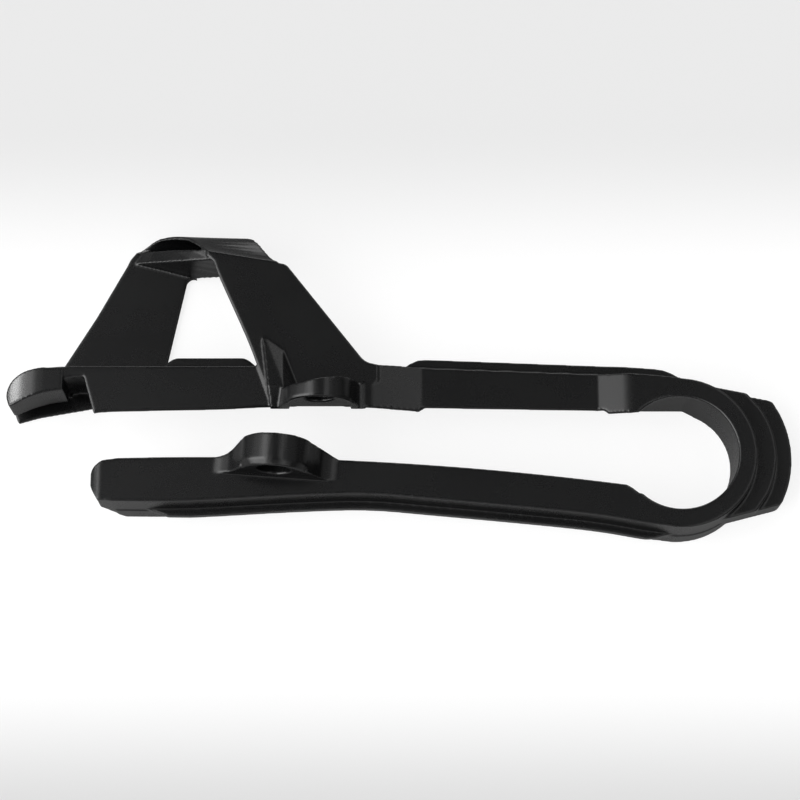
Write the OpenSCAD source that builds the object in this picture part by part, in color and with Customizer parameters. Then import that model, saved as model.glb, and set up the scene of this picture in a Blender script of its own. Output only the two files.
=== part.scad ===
// Swing-arm chain slider, moulded in one piece. It lies on its far side:
// X runs forward to the pivot loop, Y up as fitted, Z out to the near side.
// The origin is the axis of the pivot loop, on the far face.

/* [Overall] */
// Depth of the slider, across the swing arm
depth = 34; // [28:1:42]
// Thickness of the side walls
wall_t = 3.3; // [2.4:0.1:4.5]
// Thickness of the running floors
floor_t = 5.4; // [4:0.1:6.5]

/* [Pivot loop] */
// Bore that clasps the pivot boss of the swing arm
pivot_bore_d = 58; // [50:1:66]
// Radial width of the near rim
rim_w = 9.3; // [7:0.1:12]
// Reach of the middle flange in front of the bore axis
mid_flange_reach = 49.5; // [48:0.5:54]
// Reach of the rear flange in front of the bore axis
far_flange_reach = 58.5; // [56:0.5:64]
// Height of each of the two steps between the rim and the flanges
flange_step = 10; // [6:0.5:12]
// Slope of the flanges' top edge, in degrees
flange_top_slope = 11.4; // [6:0.2:16]
// Slope of the flanges' bottom edge, in degrees
flange_bottom_slope = 14.5; // [8:0.5:20]
// Lip of the far half of the loop and the lower run below the near half
rim_lip = 0.5; // [0.2:0.1:1]

/* [Upper run] */
// From the bore axis to the rear end of the side wall
upper_len = 300; // [280:1:330]
// Rise of the running floor from the loop to the rear
upper_rise = 6.8; // [3:0.1:10]
// Height of the near side wall
upper_wall_h = 22; // [18:0.5:25]
// Height of the far skirt under the running floor
skirt_h = 10; // [7:0.5:14]
// Depth of the sunk panel in the near wall
panel_sink = 4.5; // [2:0.1:6]
// From the upper lug's screw to the rear end of the sunk panel
panel_gap = 51.5; // [49:0.5:58]
// From the bore axis to the front end of the sunk panel
panel_front = 40.4; // [36:0.5:60]

/* [Chain pads] */
// Width of the two pads on the running floor
pad_w = 20; // [12:0.5:24]
// From the far face to the edge of the pads
pad_set = 6; // [5:0.5:8]
// Height of the front pad
front_pad_h = 5.4; // [2:0.1:7]
// Height of the rear pad
rear_pad_h = 6.2; // [2:0.1:8]
// Width of the ridge under the lower run
ridge_w = 5.5; // [3:0.1:8]
// Height of the ridge under the lower run
ridge_h = 3.9; // [1.5:0.1:5]
// From the far face to the ridge
ridge_set = 12; // [8:0.5:18]

/* [Nose] */
// Length of the nose behind the side wall
nose_len = 38.5; // [32:0.5:46]
// Length of the slot between the nose block and the side wall
slot_len = 8.5; // [6:0.5:12]
// Drop of the nose's tip below the running floor
nose_drop = 22; // [18:0.5:25]

/* [Chain arch] */
// Clear height of the tunnel over the running floor, on the near side
arch_h = 56; // [46:1:66]
// From the rear end of the side wall to the near leg
arch_near_x = 89; // [80:1:96]
// Width of each leg where it leaves the run
leg_foot_w = 54; // [46:1:60]
// Width of the strap where a leg meets the head
leg_top_w = 38; // [30:1:42]
// How far the strap runs back as it crosses from the near to the far side
arch_shift = 47; // [36:0.5:52]
// Thickness of the web that closes the tunnel
web_t = 5.3; // [3:0.1:7]
// Thickness of the vaulted shell over the web
vault_t = 1.9; // [1.2:0.1:2.4]
// Height of the vault over the web, at its rear rim
vault_rise = 8.4; // [6:0.2:12]

/* [Lower run] */
// From the bore axis to the rear end of the lower run
lower_len = 294.5; // [270:0.5:310]
// Height of the near wall of the lower run, at its screw lug
lower_wall_h = 19.4; // [17:0.1:22]
// Clear height for the swing arm between the two runs
swing_gap = 25.7; // [23:0.1:30]
// Radius of the long curve of the lower run's upper edge
lower_arc_r = 1600; // [1200:50:2400]

/* [Screw lugs] */
// Reach of the lower lug from the near face
lower_lug_reach = 26; // [22:0.5:30]
// From the bore axis to the lower lug's screw
lower_lug_x = 201; // [180:1:220]
// Height of the lower lug
lower_lug_h = 15.5; // [12:0.5:16.5]
// Counterbore for the lower screw's head
lower_head_d = 17; // [14:0.5:19]
// Reach of the upper lug from the near face
upper_lug_reach = 24; // [20:0.5:27]
// From the rear end of the side wall to the upper lug's screw
upper_lug_x = 120; // [114:0.5:126]
// Height of the upper lug
upper_lug_h = 11; // [9:0.5:14]
// Counterbore for the upper screw's head
upper_head_d = 15; // [12:0.5:16]
// Clear hole for each screw
screw_hole_d = 6.6; // [5.4:0.1:8.4]

/* [Hidden] */
$fn = 96;

bore_r = pivot_bore_d / 2;
ring_r = bore_r + rim_w;
rear_x = -upper_len;
run_top = ring_r + upper_rise;
wall_base = run_top - upper_wall_h;
inset_z = depth - 1;
skirt_t = wall_t - 0.3;
mid_flange_z = depth - flange_step;
far_flange_z = depth - 2 * flange_step;
lower_top_y = wall_base - swing_gap;
lower_base = lower_top_y - lower_wall_h;

function mix(a, b, t) = a + (b - a) * t;
function shift(points, dx, dy) = [for (p = points) [p[0] + dx, p[1] + dy]];
function reversed(list) = [for (i = [len(list) - 1:-1:0]) list[i]];

// A smooth open curve through the points, with n steps to each span
function span(a, b, c, d, t) =
    0.5 * (2 * b + (c - a) * t + (2 * a - 5 * b + 4 * c - d) * t * t
        + (3 * b - a - 3 * c + d) * t * t * t);
function curve(p, n = 4) = let (m = len(p) - 1) concat(
    [for (i = [0:m - 1], k = [0:n - 1])
        span(p[max(i - 1, 0)], p[i], p[i + 1], p[min(i + 2, m)], k / n)],
    [p[m]]);

// Points of an arc about a centre, from one angle to another
function arc(c, r, a0, a1, n) =
    [for (i = [0:n]) let (a = mix(a0, a1, i / n)) [c[0] + r * cos(a), c[1] + r * sin(a)]];

// The corner b of the path a-b-c, rounded with radius r
function corner(a, b, c, r, n = 5) = let (
    u = (a - b) / norm(a - b), v = (c - b) / norm(c - b),
    half = acos(u * v) / 2, m = (u + v) / norm(u + v),
    o = b + m * r / sin(half), s = b + u * r / tan(half) - o, e = b + v * r / tan(half) - o,
    a0 = atan2(s[1], s[0]), turn = atan2(s[0] * e[1] - s[1] * e[0], s * e))
    arc(o, r, a0, a0 + turn, n);

// A plate between two heights, from an outline seen from the near side
module plate(outline, z0, z1) {
    translate([0, 0, z0]) linear_extrude(z1 - z0) polygon(outline);
}

// A prism along Y, from an outline seen from above: X across, Z up the page
module upright(outline, y0, y1) {
    translate([0, y1, 0]) rotate([90, 0, 0]) linear_extrude(y1 - y0) polygon(outline);
}

// Loop: a full-depth rim with two flanges that step down to the far face

// Upper edge of the lower run: one long, flat curve
function lower_edge(x) = lower_top_y - pow(x + 240, 2) / (2 * lower_arc_r);

// Shoulder where the upper edge of the lower run turns down into the bore
shoulder = [[-0.945 * bore_r, lower_edge(-0.945 * bore_r)], bore_r * [-0.845, -0.635],
    bore_r * [-0.73, -0.73], bore_r * [-0.65, -0.73]];
mouth = concat([[-70, run_top + 10], [-70, lower_edge(-70)], [-50, lower_edge(-50)]], shoulder,
    [[-14, 0], [-19.8, wall_base - 8], [-19.8, run_top + 10]]);

// Flange outline: two sloping edges, closed by a wide arc in front
function flange(reach, r, rise, top_gap, low_gap, r_corner) = let (
    c = [reach - r, rise],
    top = ring_r + top_gap, low = ring_r - low_gap,
    at = asin((top - c[0] * sin(flange_top_slope) - c[1] * cos(flange_top_slope)) / r),
    ab = asin((low - c[0] * sin(flange_bottom_slope) + c[1] * cos(flange_bottom_slope)) / r),
    front = arc(c, r, flange_bottom_slope - ab, at - flange_top_slope, 20),
    first = [0, -low / cos(flange_bottom_slope)], last = [0, top / cos(flange_top_slope)])
    concat([first], corner(first, front[0], front[2], r_corner),
        [for (i = [3:17]) front[i]], corner(front[18], front[20], last, r_corner), [last]);

module pivot_loop() {
    difference() {
        union() {
            cylinder(r = ring_r, h = depth);
            cylinder(r = ring_r + rim_lip, h = far_flange_z);
            plate(flange(mid_flange_reach, ring_r + 5.1, 1.5, 1.4, 1.8, 3),
                far_flange_z - 0.5, mid_flange_z);
            plate(flange(far_flange_reach, ring_r + 15.3, 2.8, 2.9, 3.6, 5), 0, far_flange_z);
        }
        plate(mouth, -1, depth + 1);
    }
}

// Bore, and the flat ceiling under the running floor
module loop_openings() {
    ceiling = bore_r + 1;
    translate([0, 0, -1]) cylinder(r = bore_r, h = depth + 2);
    intersection() {
        plate([[-44, 2], [-44, ceiling], [5.5, ceiling], [12, ceiling - 3.6], [12, 2]], -1, depth);
        upright(concat(shift(near_face, 0, -wall_t), [[20, -2], [rear_x - 60, -2]]), 0, run_top);
    }
}

// Upper run: running floor, near wall with its sunk panel, far skirt and pads

panel_rear = rear_x + upper_lug_x + panel_gap;
leg_x = rear_x + arch_near_x;
ramp_len = 26.4;
upper_top = curve([[rear_x - 8, run_top - 0.1], [leg_x - 1, run_top], [panel_rear - ramp_len, run_top + 0.4],
    [panel_rear, run_top - 0.1], [-panel_front, ring_r + 3.3], [-0.7 * ring_r, ring_r + 2.9],
    [-0.24 * ring_r, ring_r + 1.6], [1, ring_r + 0.3]]);

// Outline of the near face from above: the wall stands back behind the near
// leg, and ramps lead down to the sunk panel
near_face = concat([[rear_x - 60, inset_z], [leg_x + 10, inset_z], [leg_x + 10, depth]],
    corner([leg_x + 12, depth], [panel_rear - ramp_len, depth], [panel_rear, depth - panel_sink], 16),
    [[panel_rear, depth - panel_sink], [-panel_front, depth - panel_sink]],
    corner([-panel_front, depth - panel_sink], [-panel_front + 15.6, depth], [20, depth], 26),
    [[20, depth]]);
wall_foot = curve([[rear_x + 6.3, wall_base - 2.6], [rear_x + 13.4, wall_base - 1.8],
    [rear_x + 41, wall_base - 1.1], [rear_x + 70, wall_base - 0.5], [leg_x + 7, wall_base + 0.7],
    [leg_x + 46, wall_base + 0.7], [panel_rear - ramp_len, wall_base + 0.2],
    [panel_rear - 9, wall_base - 0.4], [panel_rear - 2, wall_base - 0.8]]);
panel_foot = [[panel_rear + 1, wall_base + 1.3], [-panel_front + 3, wall_base - 0.2],
    [-panel_front + 5.5, wall_base - 2.3], [-24, wall_base - 2.4], [-19, wall_base - 2],
    [-8, bore_r - 0.5], [1, bore_r + 3]];
wall_end = [[rear_x - 8, run_top - floor_t - 0.6], [rear_x + 0.5, run_top - 5],
    [rear_x + 2, run_top - 10.3]];

module near_wall() {
    intersection() {
        plate(concat(upper_top, reversed(panel_foot), reversed(wall_foot), reversed(wall_end)), 0, depth);
        upright(concat(near_face, reversed(shift(near_face, 0, -wall_t))), 0, run_top + 20);
    }
}

module running_floor() {
    intersection() {
        plate(concat(upper_top, reversed(shift(upper_top, 0, -floor_t))), 0, depth);
        upright(concat(near_face, [[20, 0], [rear_x - 60, 0]]), 0, run_top + 20);
    }
}

// Far skirt: shallow along the run, deeper towards the nose
module far_skirt() {
    low = run_top - skirt_h;
    plate(concat(upper_top, [[1, bore_r + 3], [-13, bore_r + 1], [-30, bore_r + 1.2], [-60, low - 1],
        [panel_rear, low], [rear_x + 26, low], [rear_x, run_top - 14.2], [rear_x - 8, run_top - 15.7]]),
        0, skirt_t);
}

// Height of something that starts at x0 over a length l0 and ends at x1 over l1
function taper(x, x0, x1, h, l0, l1) = h * min(1, max(0, sin(90 * min(1, (x - x0) / l0))),
    max(0, sin(90 * min(1, (x1 - x) / l1))));

module pad(x0, x1, h, l0, l1) {
    n = 36;
    xs = [for (i = [0:n]) mix(x0, x1, i / n)];
    plate(concat([for (x = xs) [x, lookup(x, upper_top) + taper(x, x0, x1, h, l0, l1)]],
        [for (x = reversed(xs)) [x, lookup(x, upper_top) - floor_t / 2]]), pad_set, pad_set + pad_w);
}

module upper_run() {
    near_wall();
    running_floor();
    far_skirt();
    pad(panel_rear - 10.5, 5.5, front_pad_h, 11, 15);
    pad(leg_x - 50.5, leg_x - 0.5, rear_pad_h, 9, 9);
}

// Nose: a hooked block that closes the upper run. Its near face bends down
// towards the tip, and a groove runs behind the far skirt.

nose_x = rear_x - nose_len;
block_x = rear_x - slot_len - 1;
nose_tip = [nose_x + 1.7, run_top - nose_drop + 1.5];
nose_groove_z = 11;
nose_back = curve([nose_tip, [nose_x, run_top - 14.3], [nose_x + 2, run_top - 8.2],
    [nose_x + 7, run_top - 4], [nose_x + 12.4, run_top - 2.1], [nose_x + 19.1, run_top - 0.9]]);
nose_under = curve([nose_tip, [nose_x + 4.8, run_top - 19.5], [nose_x + 8.8, run_top - 17.7],
    [nose_x + 13.9, run_top - 15.8], [nose_x + 21, run_top - 13.9], [block_x, run_top - 12.8]]);

// The near face of the nose from above
nose_face = curve([[nose_x - 4, depth - 8], [nose_x, depth - 5.2], [nose_x + 4.5, depth - 3],
    [nose_x + 9, depth - 1.4], [nose_x + 14, depth - 0.3], [nose_x + 19, depth]]);

module nose() {
    top = [[nose_x + 21, run_top - 1.3], [block_x, run_top - 0.8]];
    intersection() {
        plate(concat(nose_back, top, [for (i = [len(nose_under) - 1:-1:1]) nose_under[i]]),
            nose_groove_z, depth);
        upright(concat(nose_face, [[rear_x, depth], [rear_x, 0], [nose_x - 4, 0]]),
            run_top - nose_drop - 1, run_top + 1);
    }
    plate(concat([for (i = [4:len(nose_back) - 1]) nose_back[i]], top, reversed(shift(nose_under, 0, 5))),
        0, nose_groove_z);
    plate([[nose_x + 19, run_top - 1.2], [rear_x - 6, run_top - 0.2],
        [rear_x - 6, run_top - 6], [nose_x + 19, run_top - 7]], 0, inset_z);
    plate(concat(nose_back, [[rear_x, run_top - 3], [rear_x, run_top - 14.2],
        [nose_x + 12.6, run_top - 18.9], [nose_x + 2.6, run_top - nose_drop + 0.2]]), 0, skirt_t);
}

// Chain arch: a strap that climbs the near side, vaults over the chain as it
// runs back, and comes down on the far side

web_y = run_top + arch_h;
near_top_x = leg_x - 25;
far_top_x = near_top_x - arch_shift;
far_foot_x = rear_x - 20;
near_left = curve([[leg_x + 6.8, wall_base + 0.8], [leg_x - 0.9, run_top],
    [leg_x - 7.5, run_top + 0.3 * arch_h], [leg_x - 20.8, run_top + 0.83 * arch_h],
    [near_top_x + 0.5, web_y], [near_top_x - 2.6, web_y + web_t - 0.2]]);
near_right = [near_top_x + leg_top_w, web_y - 2.2];

module near_leg() {
    foot = leg_x + 6.8 + leg_foot_w;
    before = near_right + [-9, 1.9];
    plate(concat(near_left, [before], corner(before, near_right, [foot - 7.5, run_top + 1.8], 5),
        corner(near_right, [foot - 7.5, run_top + 1.8], [foot - 1, run_top + 0.4], 9),
        [[foot - 1, run_top + 0.4], [foot - 1, run_top - 8], [foot - 20, wall_base + 2]]),
        depth - wall_t, depth);
}

module far_leg() {
    base = run_top - 4;
    foot = far_foot_x + leg_foot_w + 3.5;
    top = [right_x(0) + 0.5, under_y(right_x(0), 0)];
    along = top + [5, -1];
    left = [far_top_x, under_y(far_top_x, 0)];
    plate(concat([[far_foot_x - 1, base], [far_foot_x + 22, run_top + 35], left, left + [1.6, 3.6],
        [far_top_x + 4.8, knee_y(far_top_x + 4.8, 0) - 0.5], [right_x(0) + 1, top[1] + 4], along],
        corner(along, top, [foot, run_top], 3.5), [[foot, run_top], [foot - 1, base]]), 0, skirt_t);
}

// Head: an inclined web under a vaulted shell, both drawn through stations
// that go from the far side to the near side. f is 0 there and 1 here, side is
// 0 at the rear rim and 1 at the front one.
head_n = 26;
function rim_lean(side, f) = side == 0 ? mix(1, -0.5, f) : mix(0.23, -0.85, f);
function left_x(f) = mix(far_top_x, near_top_x, f);
function right_x(f) = mix(far_top_x + leg_top_w - 6.4, near_top_x + leg_top_w, f);
function rim_x(side, f) = side == 0 ? left_x(f) : right_x(f);
function under_y(x, f) = web_y - 0.2 * (x - near_top_x) - 2 * (1 - f);
function knee_y(x, f) = web_y + web_t - 0.165 * (x - near_top_x + 2.7) + 3.8 * (1 - f);

// The web's rear edge stands a little higher than its front one
function rear_lift(top, f) = top == 0 ? mix(2.3, 0.2, f) : 0.5 + 1.1 * sin(180 * f);

function web_station(f) = [for (c = [[0, 0], [1, 0], [1, 1], [0, 1]]) let (
    x0 = rim_x(c[0], f), x = x0 + rim_lean(c[0], f) * (web_t - 0.5) * c[1])
    [x, (c[1] == 0 ? under_y(x0, f) : knee_y(x, f) - 0.4) + (1 - c[0]) * rear_lift(c[1], f), f * depth]];

// Height of the vault over its foot, from 0 at the knees to 1 at the crest. u is
// the way up the flank, and steep tells how far it stands upright.
function vault(u, steep) = let (s = min(1, u / 0.62)) mix(sin(90 * u), s * s * (3 - 2 * s), steep);

// Corner of the shell: skin is 0 inside and 1 outside, and dip lowers the ends
// of the shell into the legs
function shell_point(side, skin, f, dip) = let (
    inner = vault_t * (1 - skin), x = rim_x(side, f) + web_t * rim_lean(side, f),
    rise = vault_rise + 4 * side - inner)
    [x, knee_y(x, f) - dip + rise * vault(1 - abs(2 * f - 1), mix(0.4, 1, side)),
        mix(inner, depth - inner, f)];
function shell_station(f, dip) =
    [for (c = [[0, 0], [1, 0], [1, 1], [0, 1]]) shell_point(c[0], c[1], f, dip)];

// A solid through a row of four-cornered stations
module loft(stations) {
    n = 4 * (len(stations) - 1);
    sides = [for (a = [0:n - 1]) let (b = a % 4 == 3 ? a - 3 : a + 1)
        each [[a, b + 4, b], [a, a + 4, b + 4]]];
    polyhedron([for (s = stations) each s],
        concat(sides, [[0, 1, 2], [0, 2, 3], [n + 2, n + 1, n], [n + 3, n + 2, n]]), convexity = 4);
}

module arch_head() {
    loft([for (i = [0:4]) web_station(i / 4)]);
    loft(concat([shell_station(0, 3)], [for (i = [0:head_n]) shell_station(i / head_n, 0)],
        [shell_station(1, 3)]));
}

module chain_arch() {
    near_leg();
    far_leg();
    arch_head();
}

// Lower run: a channel open upwards, with a ridge for the chain underneath

lower_foot = curve([[-lower_len + 12, lower_base - 3], [-lower_len + 49, lower_base - 3],
    [-lower_lug_x + 8, lower_base - 0.2], [-lower_lug_x + 44, lower_base + 0.7],
    [-lower_lug_x + 77, lower_base - 1.9], [-64, -ring_r + 8.7], [-38, -ring_r + 5.6],
    [-16.6, -ring_r + 1.9], [0, -ring_r]]);
lower_end = curve([[-lower_len + 4.3, lower_base - 2.3], [-lower_len + 0.5, lower_top_y - 14.6],
    [-lower_len, lower_top_y - 9.4], [-lower_len + 1.8, lower_top_y - 5],
    [-lower_len + 6.2, lower_top_y - 1.6]]);

// Plan of the lower run: its rear end is rounded at the near side and cut off
// slantwise at the far side
lower_plan = concat([[60, 0], [-lower_len + 15, 0], [-lower_len, depth - 11]],
    corner([-lower_len, depth - 11], [-lower_len, depth], [0, depth], 5.5), [[60, depth]]);

module lower_run() {
    outline = concat(lower_end, [for (x = [-lower_len + 14:8:-31]) [x, lower_edge(x)]],
        shoulder, [[-8, -bore_r - 1]], reversed(lower_foot));
    low_end = [lower_end[0], [-lower_len + 2.6, lower_base + 2]];
    intersection() {
        union() {
            plate(outline, depth - wall_t - 0.7, depth);
            plate(concat(low_end, shift(lower_foot, 0, floor_t), reversed(lower_foot)), 0, depth);
            plate(concat(low_end, [[-lower_len + 8, lower_base + 9]], shift(lower_foot, 0, 10.5),
                reversed(lower_foot)), 0, skirt_t);
            plate(concat(shift(lower_foot, 0, 1), reversed(shift(lower_foot, 0, -rim_lip))),
                0, far_flange_z);
            ridge();
        }
        upright(lower_plan, -ring_r - 10, lower_top_y + 10);
    }
}

module ridge() {
    low = [for (p = lower_foot) [p[0], p[1] - taper(p[0], -lower_len + 29, -4, ridge_h, 12, 14)]];
    plate(concat(low, reversed(shift(lower_foot, 0, 1))), ridge_set, ridge_set + ridge_w);
}

// Screw lug: a boss with a chamfered lower rim, a neck to the wall and a hollow
// fillet on each side. profile is its upper edge as seen from the near side, and
// lift raises its lower edge inside the wall.
module screw_lug(r, reach, spread_l, spread_r, h, rim, lift, profile) {
    z = depth + reach - r;
    low_w = r - 0.6 * rim;
    intersection() {
        union() {
            translate([0, -h, z]) rotate([-90, 0, 0]) cylinder(r1 = low_w, r2 = r, h = rim);
            translate([0, rim - h, z]) rotate([-90, 0, 0]) cylinder(r = r, h = h - rim + 3);
            plate([[-low_w, -h], [low_w, -h], [r, rim - h], [r, 3], [-r, 3], [-r, rim - h]],
                depth - wall_t, z);
            for (side = [[-1, spread_l], [1, spread_r]]) lug_fillet(side[0], side[1], r, z, h);
        }
        union() {
            plate(concat(profile, [[spread_r, lift - h], [-spread_l, lift - h]]), depth - wall_t, depth);
            plate(concat(profile, [[spread_r, -h - 1], [-spread_l, -h - 1]]), inset_z, z + r + 1);
        }
    }
}

module lug_fillet(side, spread, r, z, h) {
    hollow = curve([[spread, depth], [spread - 4, depth + 0.9], [mix(r, spread, 0.36), mix(depth, z, 0.42)],
        [r + 1, z + 1.5], [r * cos(18), z + r * sin(18)]]);
    outline = concat([[r * 0.7, depth - wall_t], [spread, depth - wall_t]], hollow, [[r * 0.7, z + 1]]);
    upright([for (p = side > 0 ? outline : reversed(outline)) [side * p[0], p[1]]], -h, 3);
}

module screw_hole(head_d, h, head_h) {
    rotate([90, 0, 0]) translate([0, 0, -5]) cylinder(d = screw_hole_d, h = h + 10);
    rotate([90, 0, 0]) translate([0, 0, h - head_h]) cylinder(d = head_d, h = head_h + 5);
}

lower_lug_tilt = -4.2;
lower_profile = [[-31, -7.6], [-28, -6.9], [-25, -5.9], [-22.5, -4.2], [-20, -2.4], [-17.5, -0.7],
    [-15, 0], [-8, 0.4], [15, 0.5], [18.5, 0.3], [21.8, -0.3], [24.3, -1.2], [26.8, -2.4], [29, -3.5],
    [31, -4.4]];
upper_profile = [[-25, -1.6], [-20, -1.8], [-16, -2.8], [-12, -3.3], [-8, -3.2], [-3, -2.2], [3, -1.2],
    [8, -0.4], [12.5, 0.4], [16, 1], [19, 1.7], [23, 2.6]];
lug_skin = 2.2;

module at_lower_lug() {
    translate([-lower_lug_x, lower_edge(-lower_lug_x) + 5.6, 0]) rotate([0, 0, lower_lug_tilt]) children();
}

module at_upper_lug() {
    translate([rear_x + upper_lug_x, wall_base + 10, 0]) children();
}

module lower_lug() {
    at_lower_lug() screw_lug(17.5, lower_lug_reach, 31, 31, lower_lug_h, 3, 0, lower_profile);
}

module upper_lug() {
    at_upper_lug() screw_lug(17.5, upper_lug_reach, 25, 23, upper_lug_h, 1, 1.9, upper_profile);
}

// The upper lug's underside stands back inside a skin, level with the wall's foot
module upper_lug_recess() {
    r = 17.5 - lug_skin;
    z = depth + upper_lug_reach - 17.5;
    at_upper_lug() translate([0, -upper_lug_h - 1, 0]) {
        translate([0, 0, z]) rotate([-90, 0, 0]) cylinder(r = r, h = 3);
        translate([-r, 0, inset_z - 0.5]) cube([2 * r, 3, z - inset_z + 0.5]);
    }
}

// Screw holes along Y, each opening downwards into a counterbore
module screw_holes() {
    at_lower_lug() translate([0, 0, depth + lower_lug_reach - 12.5])
        screw_hole(lower_head_d, lower_lug_h, 9);
    at_upper_lug() translate([0, 0, depth + upper_lug_reach - 10.5])
        screw_hole(upper_head_d, upper_lug_h, 5.5);
}

// Gusset between the upper lug and the near leg: it stands out most at its
// middle and runs out into the leg above and into the lug's flank below
module gusset() {
    hull() {
        translate([leg_x + 1.5, run_top + 14, inset_z]) cube([1, 1, 1.02]);
        translate([leg_x + 9.4, run_top + 7, inset_z]) cube([2.6, 1, 1.02]);
        translate([leg_x + 8, wall_base + 10, inset_z]) cube([11.5, 1, 1.02]);
        translate([leg_x + 5, wall_base + 8.5, inset_z]) cube([7.8, 1, 7.5]);
        translate([leg_x + 6.2, wall_base - 0.6, inset_z]) cube([8.6, 1, 2.2]);
    }
}

module chain_slider() {
    color("#242425") difference() {
        union() {
            pivot_loop();
            upper_run();
            nose();
            chain_arch();
            lower_run();
            lower_lug();
            upper_lug();
            gusset();
        }
        loop_openings();
        upper_lug_recess();
        screw_holes();
    }
}

chain_slider();
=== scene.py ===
# %% [markdown]
# A chain guide is one black plastic moulding that keeps a motorcycle's chain off
# its swing arm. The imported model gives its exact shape, in metres, with the axis
# of the pivot loop at the origin. This lesson turns that model into something
# that looks moulded: rounded edges, a fine satin grain and quiet studio light.
# The frame is loaded first, because every later step measures itself on it.

# %% Load the frame
import math

import bmesh
import bpy
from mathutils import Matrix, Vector


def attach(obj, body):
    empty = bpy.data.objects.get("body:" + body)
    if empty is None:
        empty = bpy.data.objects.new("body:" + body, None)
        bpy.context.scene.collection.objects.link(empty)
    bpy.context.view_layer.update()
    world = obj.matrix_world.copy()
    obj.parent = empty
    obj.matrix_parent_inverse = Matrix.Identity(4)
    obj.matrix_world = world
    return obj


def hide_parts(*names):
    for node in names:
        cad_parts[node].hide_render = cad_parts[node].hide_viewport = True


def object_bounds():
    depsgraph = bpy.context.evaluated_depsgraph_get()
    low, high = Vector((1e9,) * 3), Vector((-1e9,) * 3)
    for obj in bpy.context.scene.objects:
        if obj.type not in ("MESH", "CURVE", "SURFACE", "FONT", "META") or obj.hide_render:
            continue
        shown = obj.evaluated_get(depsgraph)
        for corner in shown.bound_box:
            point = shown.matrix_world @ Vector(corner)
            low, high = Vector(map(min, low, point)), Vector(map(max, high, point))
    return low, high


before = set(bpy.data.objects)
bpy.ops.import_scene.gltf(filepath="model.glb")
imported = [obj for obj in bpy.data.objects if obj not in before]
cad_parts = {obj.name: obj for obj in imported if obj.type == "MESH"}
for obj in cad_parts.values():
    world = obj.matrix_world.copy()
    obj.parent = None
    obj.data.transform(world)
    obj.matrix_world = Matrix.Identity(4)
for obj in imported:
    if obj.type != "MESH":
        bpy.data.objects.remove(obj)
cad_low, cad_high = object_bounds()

MM = 0.001
scene = bpy.context.scene
cad_size = [round((high - low) / MM, 1) for low, high in zip(cad_low, cad_high)]
print("model box in mm:", cad_size)

# %% [markdown]
# The photograph is taken from well above the table with a long lens, so parallel
# edges stay nearly parallel and the far face shows a little below the near one.
# A camera that stands beyond the lower edge and looks at a point on the part
# gives the same picture. The view transform is Standard, which renders a colour
# about as it is written.

# %% Camera
LENS_MM, SENSOR_MM = 102, 36
NEAREST, FARTHEST = 0.05, 20
CAMERA_AT = Vector((-140, -286.3, 1126)) * MM
CAMERA_AIM = Vector((-140, 26.7, 34)) * MM

camera = bpy.data.objects.new("camera", bpy.data.cameras.new("camera"))
scene.collection.objects.link(camera)
camera.data.lens = LENS_MM
camera.data.sensor_width = SENSOR_MM
camera.data.clip_start = NEAREST
camera.data.clip_end = FARTHEST
camera.location = CAMERA_AT
camera.rotation_euler = (CAMERA_AIM - CAMERA_AT).to_track_quat("-Z", "Y").to_euler()
scene.camera = camera
scene.view_settings.view_transform = "Standard"
print("camera stands", round((CAMERA_AIM - CAMERA_AT).length, 3), "m from the part")


# %% [markdown]
# A material is a graph of small nodes, and graphs are slow to read. So a small
# class wraps one output of a node: adding or multiplying two of them makes the
# Math node that does it, and the graph reads like ordinary sums. Most light and
# gloss here fades from one place to another, which is what `between` is for.

# %% A socket that can be added and multiplied
class Value:
    """One output in a node tree, with sums that build Math nodes."""

    def __init__(self, tree, socket):
        self.tree, self.socket = tree, socket

    def node(self, kind, **inputs):
        return Value(self.tree, make_node(self.tree, kind, **inputs).outputs[0])

    def math(self, operation, *others):
        made = self.tree.nodes.new("ShaderNodeMath")
        made.operation = operation
        for place, item in enumerate(others):
            plug(self.tree, item, made.inputs[place])
        return Value(self.tree, made.outputs[0])

    def __add__(self, other):
        return self.math("ADD", self, other)

    def __rsub__(self, other):
        return self.math("SUBTRACT", other, self)

    def __mul__(self, other):
        return self.math("MULTIPLY", self, other)

    __radd__, __rmul__ = __add__, __mul__

    def between(self, none, full):
        """0 on the side of none, 1 on the side of full, and a smooth step between."""
        if none > full:
            return 1 - self.between(full, none)
        made = self.tree.nodes.new("ShaderNodeMapRange")
        made.interpolation_type = "SMOOTHSTEP"
        plug(self.tree, self, made.inputs["Value"])
        made.inputs["From Min"].default_value = none
        made.inputs["From Max"].default_value = full
        return Value(self.tree, made.outputs[0])


def plug(tree, item, socket):
    if isinstance(item, Value):
        tree.links.new(item.socket, socket)
    else:
        socket.default_value = item


def make_node(tree, kind, **inputs):
    """A node of that kind, with the values or links of its sockets."""
    made = tree.nodes.new("ShaderNode" + kind)
    for name, item in inputs.items():
        plug(tree, item, made.inputs[name.replace("_", " ")])
    return made


def axes(tree, output):
    """The three parts of a texture coordinate."""
    place = Value(tree, make_node(tree, "TexCoord").outputs[output])
    split = make_node(tree, "SeparateXYZ", Vector=place)
    return [Value(tree, split.outputs[name]) for name in "XYZ"]


def new_material(name):
    """An empty material, its tree and its surface input."""
    material = bpy.data.materials.new(name)
    material.use_nodes = True
    tree = material.node_tree
    tree.nodes.clear()
    out = tree.nodes.new("ShaderNodeOutputMaterial")
    return material, tree, out.inputs["Surface"]


# %% [markdown]
# The slider is moulded from a black polyamide or polyethylene. Its skin is satin:
# the tool is spark eroded, which leaves a fine grain of about half a millimetre,
# and the melt leaves faint wide clouds of gloss. Both go into roughness, the
# grain goes into the bump too, and the colour stays one deep black.

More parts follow.
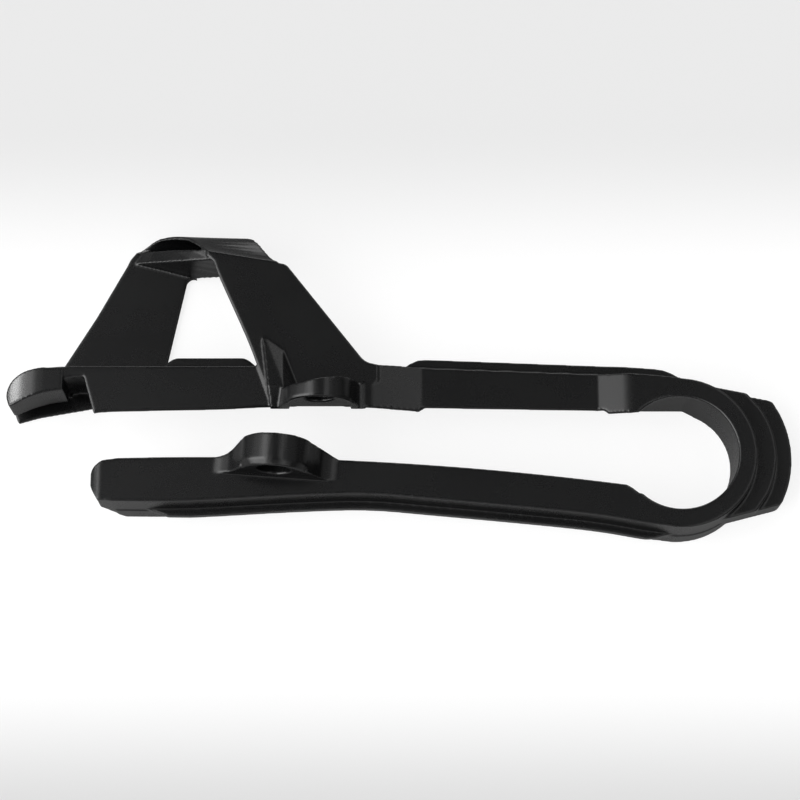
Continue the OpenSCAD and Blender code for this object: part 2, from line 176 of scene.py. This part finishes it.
# %% Black moulded plastic
BLACK = (0.0036, 0.0037, 0.0039, 1)
IOR = 1.5
GRAIN = {"Scale": 2200, "Detail": 3, "Roughness": 0.55}
CLOUD = {"Scale": 38, "Detail": 2, "Roughness": 0.5}
SMOOTHEST, CLOUD_SHARE, GRAIN_SHARE = 0.23, 0.06, 0.03
BUMP_STRENGTH, BUMP_HEIGHT = 0.22, 0.12 * MM


def moulded_plastic():
    material, tree, surface = new_material("moulded_black_plastic")
    place = Value(tree, make_node(tree, "TexCoord").outputs["Object"])
    grain = place.node("TexNoise", Vector=place, **GRAIN)
    cloud = place.node("TexNoise", Vector=place, **CLOUD)
    rough = SMOOTHEST + CLOUD_SHARE * cloud + GRAIN_SHARE * grain
    bump = place.node("Bump", Height=grain, Strength=BUMP_STRENGTH, Distance=BUMP_HEIGHT)
    shader = make_node(tree, "BsdfPrincipled", Roughness=rough, Normal=bump)
    shader.inputs["Base Color"].default_value = BLACK
    shader.inputs["IOR"].default_value = IOR
    tree.links.new(shader.outputs[0], surface)
    return material


plastic = moulded_plastic()
print("plastic has", len(plastic.node_tree.nodes), "nodes")

# %% [markdown]
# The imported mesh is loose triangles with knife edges, which no moulding has. A
# bevel would fail where many cut edges meet, so the solid is rebuilt on a fine
# grid of voxels instead and its skin is smoothed a little: each edge gets a
# radius of about a millimetre and each inner corner a small fillet, as in the
# tool. That takes several hundred thousand triangles, so a decimation then gives
# back those that the flat parts don't need.

# %% Round the edges of the moulding
WELD = 0.001 * MM
VOXEL = 0.56 * MM
SMOOTH_FACTOR, SMOOTH_STEPS = 0.5, 5
TRIANGLES = 195_000


def welded(mesh):
    """A copy of the mesh whose triangles share their corners."""
    mesh = mesh.copy()
    bm = bmesh.new()
    bm.from_mesh(mesh)
    bmesh.ops.remove_doubles(bm, verts=bm.verts, dist=WELD)
    bm.to_mesh(mesh)
    bm.free()
    return mesh


def rounded_copy(node, name):
    piece = bpy.data.objects.new(name, welded(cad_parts[node].data))
    scene.collection.objects.link(piece)
    remesh = piece.modifiers.new("voxels", "REMESH")
    remesh.mode = "VOXEL"
    remesh.voxel_size = VOXEL * 1
    smooth = piece.modifiers.new("smooth", "SMOOTH")
    smooth.factor, smooth.iterations = SMOOTH_FACTOR, SMOOTH_STEPS
    bpy.context.view_layer.update()
    graph = bpy.context.evaluated_depsgraph_get()
    dense = len(piece.evaluated_get(graph).data.polygons) * 2
    thin = piece.modifiers.new("thin", "DECIMATE")
    thin.ratio = min(1, TRIANGLES / dense)
    graph = bpy.context.evaluated_depsgraph_get()
    finished = bpy.data.meshes.new_from_object(piece.evaluated_get(graph))
    piece.modifiers.clear()
    piece.data = finished
    for polygon in finished.polygons:
        polygon.use_smooth = True
    print(name, "had", dense, "triangles and keeps", len(finished.polygons))
    return piece


slider = rounded_copy("chain_slider", "slider")
slider.data.materials.clear()
slider.data.materials.append(plastic)
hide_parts("chain_slider")
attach(slider, "root")

# %% [markdown]
# The part lies on a white table. Its floor is a plain diffuse sheet that takes
# the soft shadow, with some light of its own, as a photographer's lit table has.
# The camera sees that light in full, and a mirrored view of the table a small
# share of it, so the black sides don't turn grey. The light fades towards the
# top and the bottom of the picture.

# %% Floor
FLOOR_SIZE = 6
FLOOR_GAP = 0.05 * MM
FLOOR_COLOR = (0.22, 0.22, 0.22, 1)
TABLE_GLOW = 0.83
FAR_LOSS, FAR_FADE = 0.24, (0.08, 0.19)
NEAR_LOSS, NEAR_FADE = 0.36, (-0.09, -0.19)
MIRRORED_SHARE = 0.12


def table_top():
    material, tree, surface = new_material("white_table")
    across = axes(tree, "Object")[1]
    losses = FAR_LOSS * across.between(*FAR_FADE) + NEAR_LOSS * across.between(*NEAR_FADE)
    path = make_node(tree, "LightPath")
    seen, glossy, through = (Value(tree, path.outputs[name]) for name in
                             ("Is Camera Ray", "Is Glossy Ray", "Is Transmission Ray"))
    lit = seen + MIRRORED_SHARE * glossy.math("MAXIMUM", glossy, through)
    sheet = make_node(tree, "BsdfDiffuse", Color=FLOOR_COLOR)
    light = make_node(tree, "Emission", Strength=lit * (TABLE_GLOW - losses))
    both = make_node(tree, "AddShader")
    tree.links.new(sheet.outputs[0], both.inputs[0])
    tree.links.new(light.outputs[0], both.inputs[1])
    tree.links.new(both.outputs[0], surface)
    return material


floor_mesh = bpy.data.meshes.new("table")
bm = bmesh.new()
bmesh.ops.create_grid(bm, x_segments=1, y_segments=1, size=FLOOR_SIZE / 2)
bmesh.ops.translate(bm, verts=bm.verts, vec=(0, 0, cad_low.z - FLOOR_GAP))
bm.to_mesh(floor_mesh)
bm.free()
floor = bpy.data.objects.new("table", floor_mesh)
scene.collection.objects.link(floor)
floor_mesh.materials.append(table_top())
print("floor lies", FLOOR_GAP / MM, "mm under the part")

# %% [markdown]
# A black satin surface shows mostly what it reflects. So the room is drawn on the
# sky as soft boxes, each with a strength and with the windows that it fades in
# through. A window reads a part of the ray's direction: x to the right, y to the
# top of the picture, z up and side for how far off the middle. It is dark at its
# first number and full at its second. Soft boxes have no hard edge to mirror.

# %% The room
DIMMEST = 0.03
CEILING = {
    "whole ceiling": (0.06, ("y", -0.1, 0.16)),
    "strip over the near faces": (0.5, ("y", -0.1, 0.16), ("y", 0.34, 0.2)),
    "shade at the right": (-0.45, ("x", -0.12, 0.2)),
}
WALLS = {
    "left wall": (0.7, ("x", -0.3, -0.5), ("z", 0.05, 0.35)),
    "box at the left": (2.9, ("x", -0.72, -0.55), ("x", -0.26, -0.44), ("y", 0.6, 0.4)),
    "low box for the rims": (4.5, ("x", -0.45, -0.6), ("y", 0.15, 0), ("y", -0.7, -0.5)),
    "right wall": (0.3, ("x", 0.24, 0.36), ("z", 0.1, 0.4)),
    "box at the right": (1.5, ("x", 0.24, 0.36), ("x", 0.55, 0.42), ("z", 0.1, 0.4)),
    "low box behind": (4, ("y", 0.7, 0.9), ("z", 0.08, 0.25), ("z", 0.6, 0.4),
                       ("side", 0.35, 0.15)),
    "low box in front": (0.8, ("y", -0.7, -0.85), ("z", 0.1, 0.25)),
}


def lights(ray, rows):
    """The sum of the rows: each one is its strength times all its windows."""
    total = 0
    for strength, *windows in rows.values():
        for axis, dark, full in windows:
            strength = strength * ray[axis].between(dark, full)
        total = total + strength
    return total


def room():
    world = bpy.data.worlds.new("studio")
    scene.world = world
    world.use_nodes = True
    tree = world.node_tree
    tree.nodes.clear()
    ray = dict(zip("xyz", axes(tree, "Generated")))
    ray["side"] = ray["x"].math("ABSOLUTE", ray["x"])
    ceiling = lights(ray, CEILING)
    ceiling = ceiling.math("MAXIMUM", ceiling, DIMMEST)
    light = make_node(tree, "Background", Strength=ceiling + lights(ray, WALLS))
    out = tree.nodes.new("ShaderNodeOutputWorld")
    tree.links.new(light.outputs[0], out.inputs["Surface"])
    print("the room has", ", ".join((*CEILING, *WALLS)))


room()

# %% [markdown]
# The round nose shows one bright spot that nothing else on the part mirrors. A
# small lamp does that: it stands close by and its spread is narrow, so it lights
# the nose and misses the lugs.

# %% The lamp for the nose
NOSE_AT = Vector((-325, 35, 30)) * MM
NOSE_LAMP_WAY = Vector((-0.79, 0.28, 0.54))
NOSE_LAMP_AWAY = 160 * MM
NOSE_LAMP_SIZE = 45 * MM
NOSE_LAMP_WATTS = 0.003
NOSE_LAMP_SPREAD = math.radians(22)


def nose_box():
    lamp = bpy.data.lights.new("nose_box", "AREA")
    lamp.size = NOSE_LAMP_SIZE
    lamp.energy = NOSE_LAMP_WATTS
    lamp.spread = NOSE_LAMP_SPREAD
    box = bpy.data.objects.new("nose_box", lamp)
    scene.collection.objects.link(box)
    box.location = NOSE_AT + NOSE_LAMP_WAY * NOSE_LAMP_AWAY
    box.rotation_euler = (-NOSE_LAMP_WAY).to_track_quat("-Z", "Y").to_euler()
    print("the nose lamp gives", NOSE_LAMP_WATTS, "W")


nose_box()
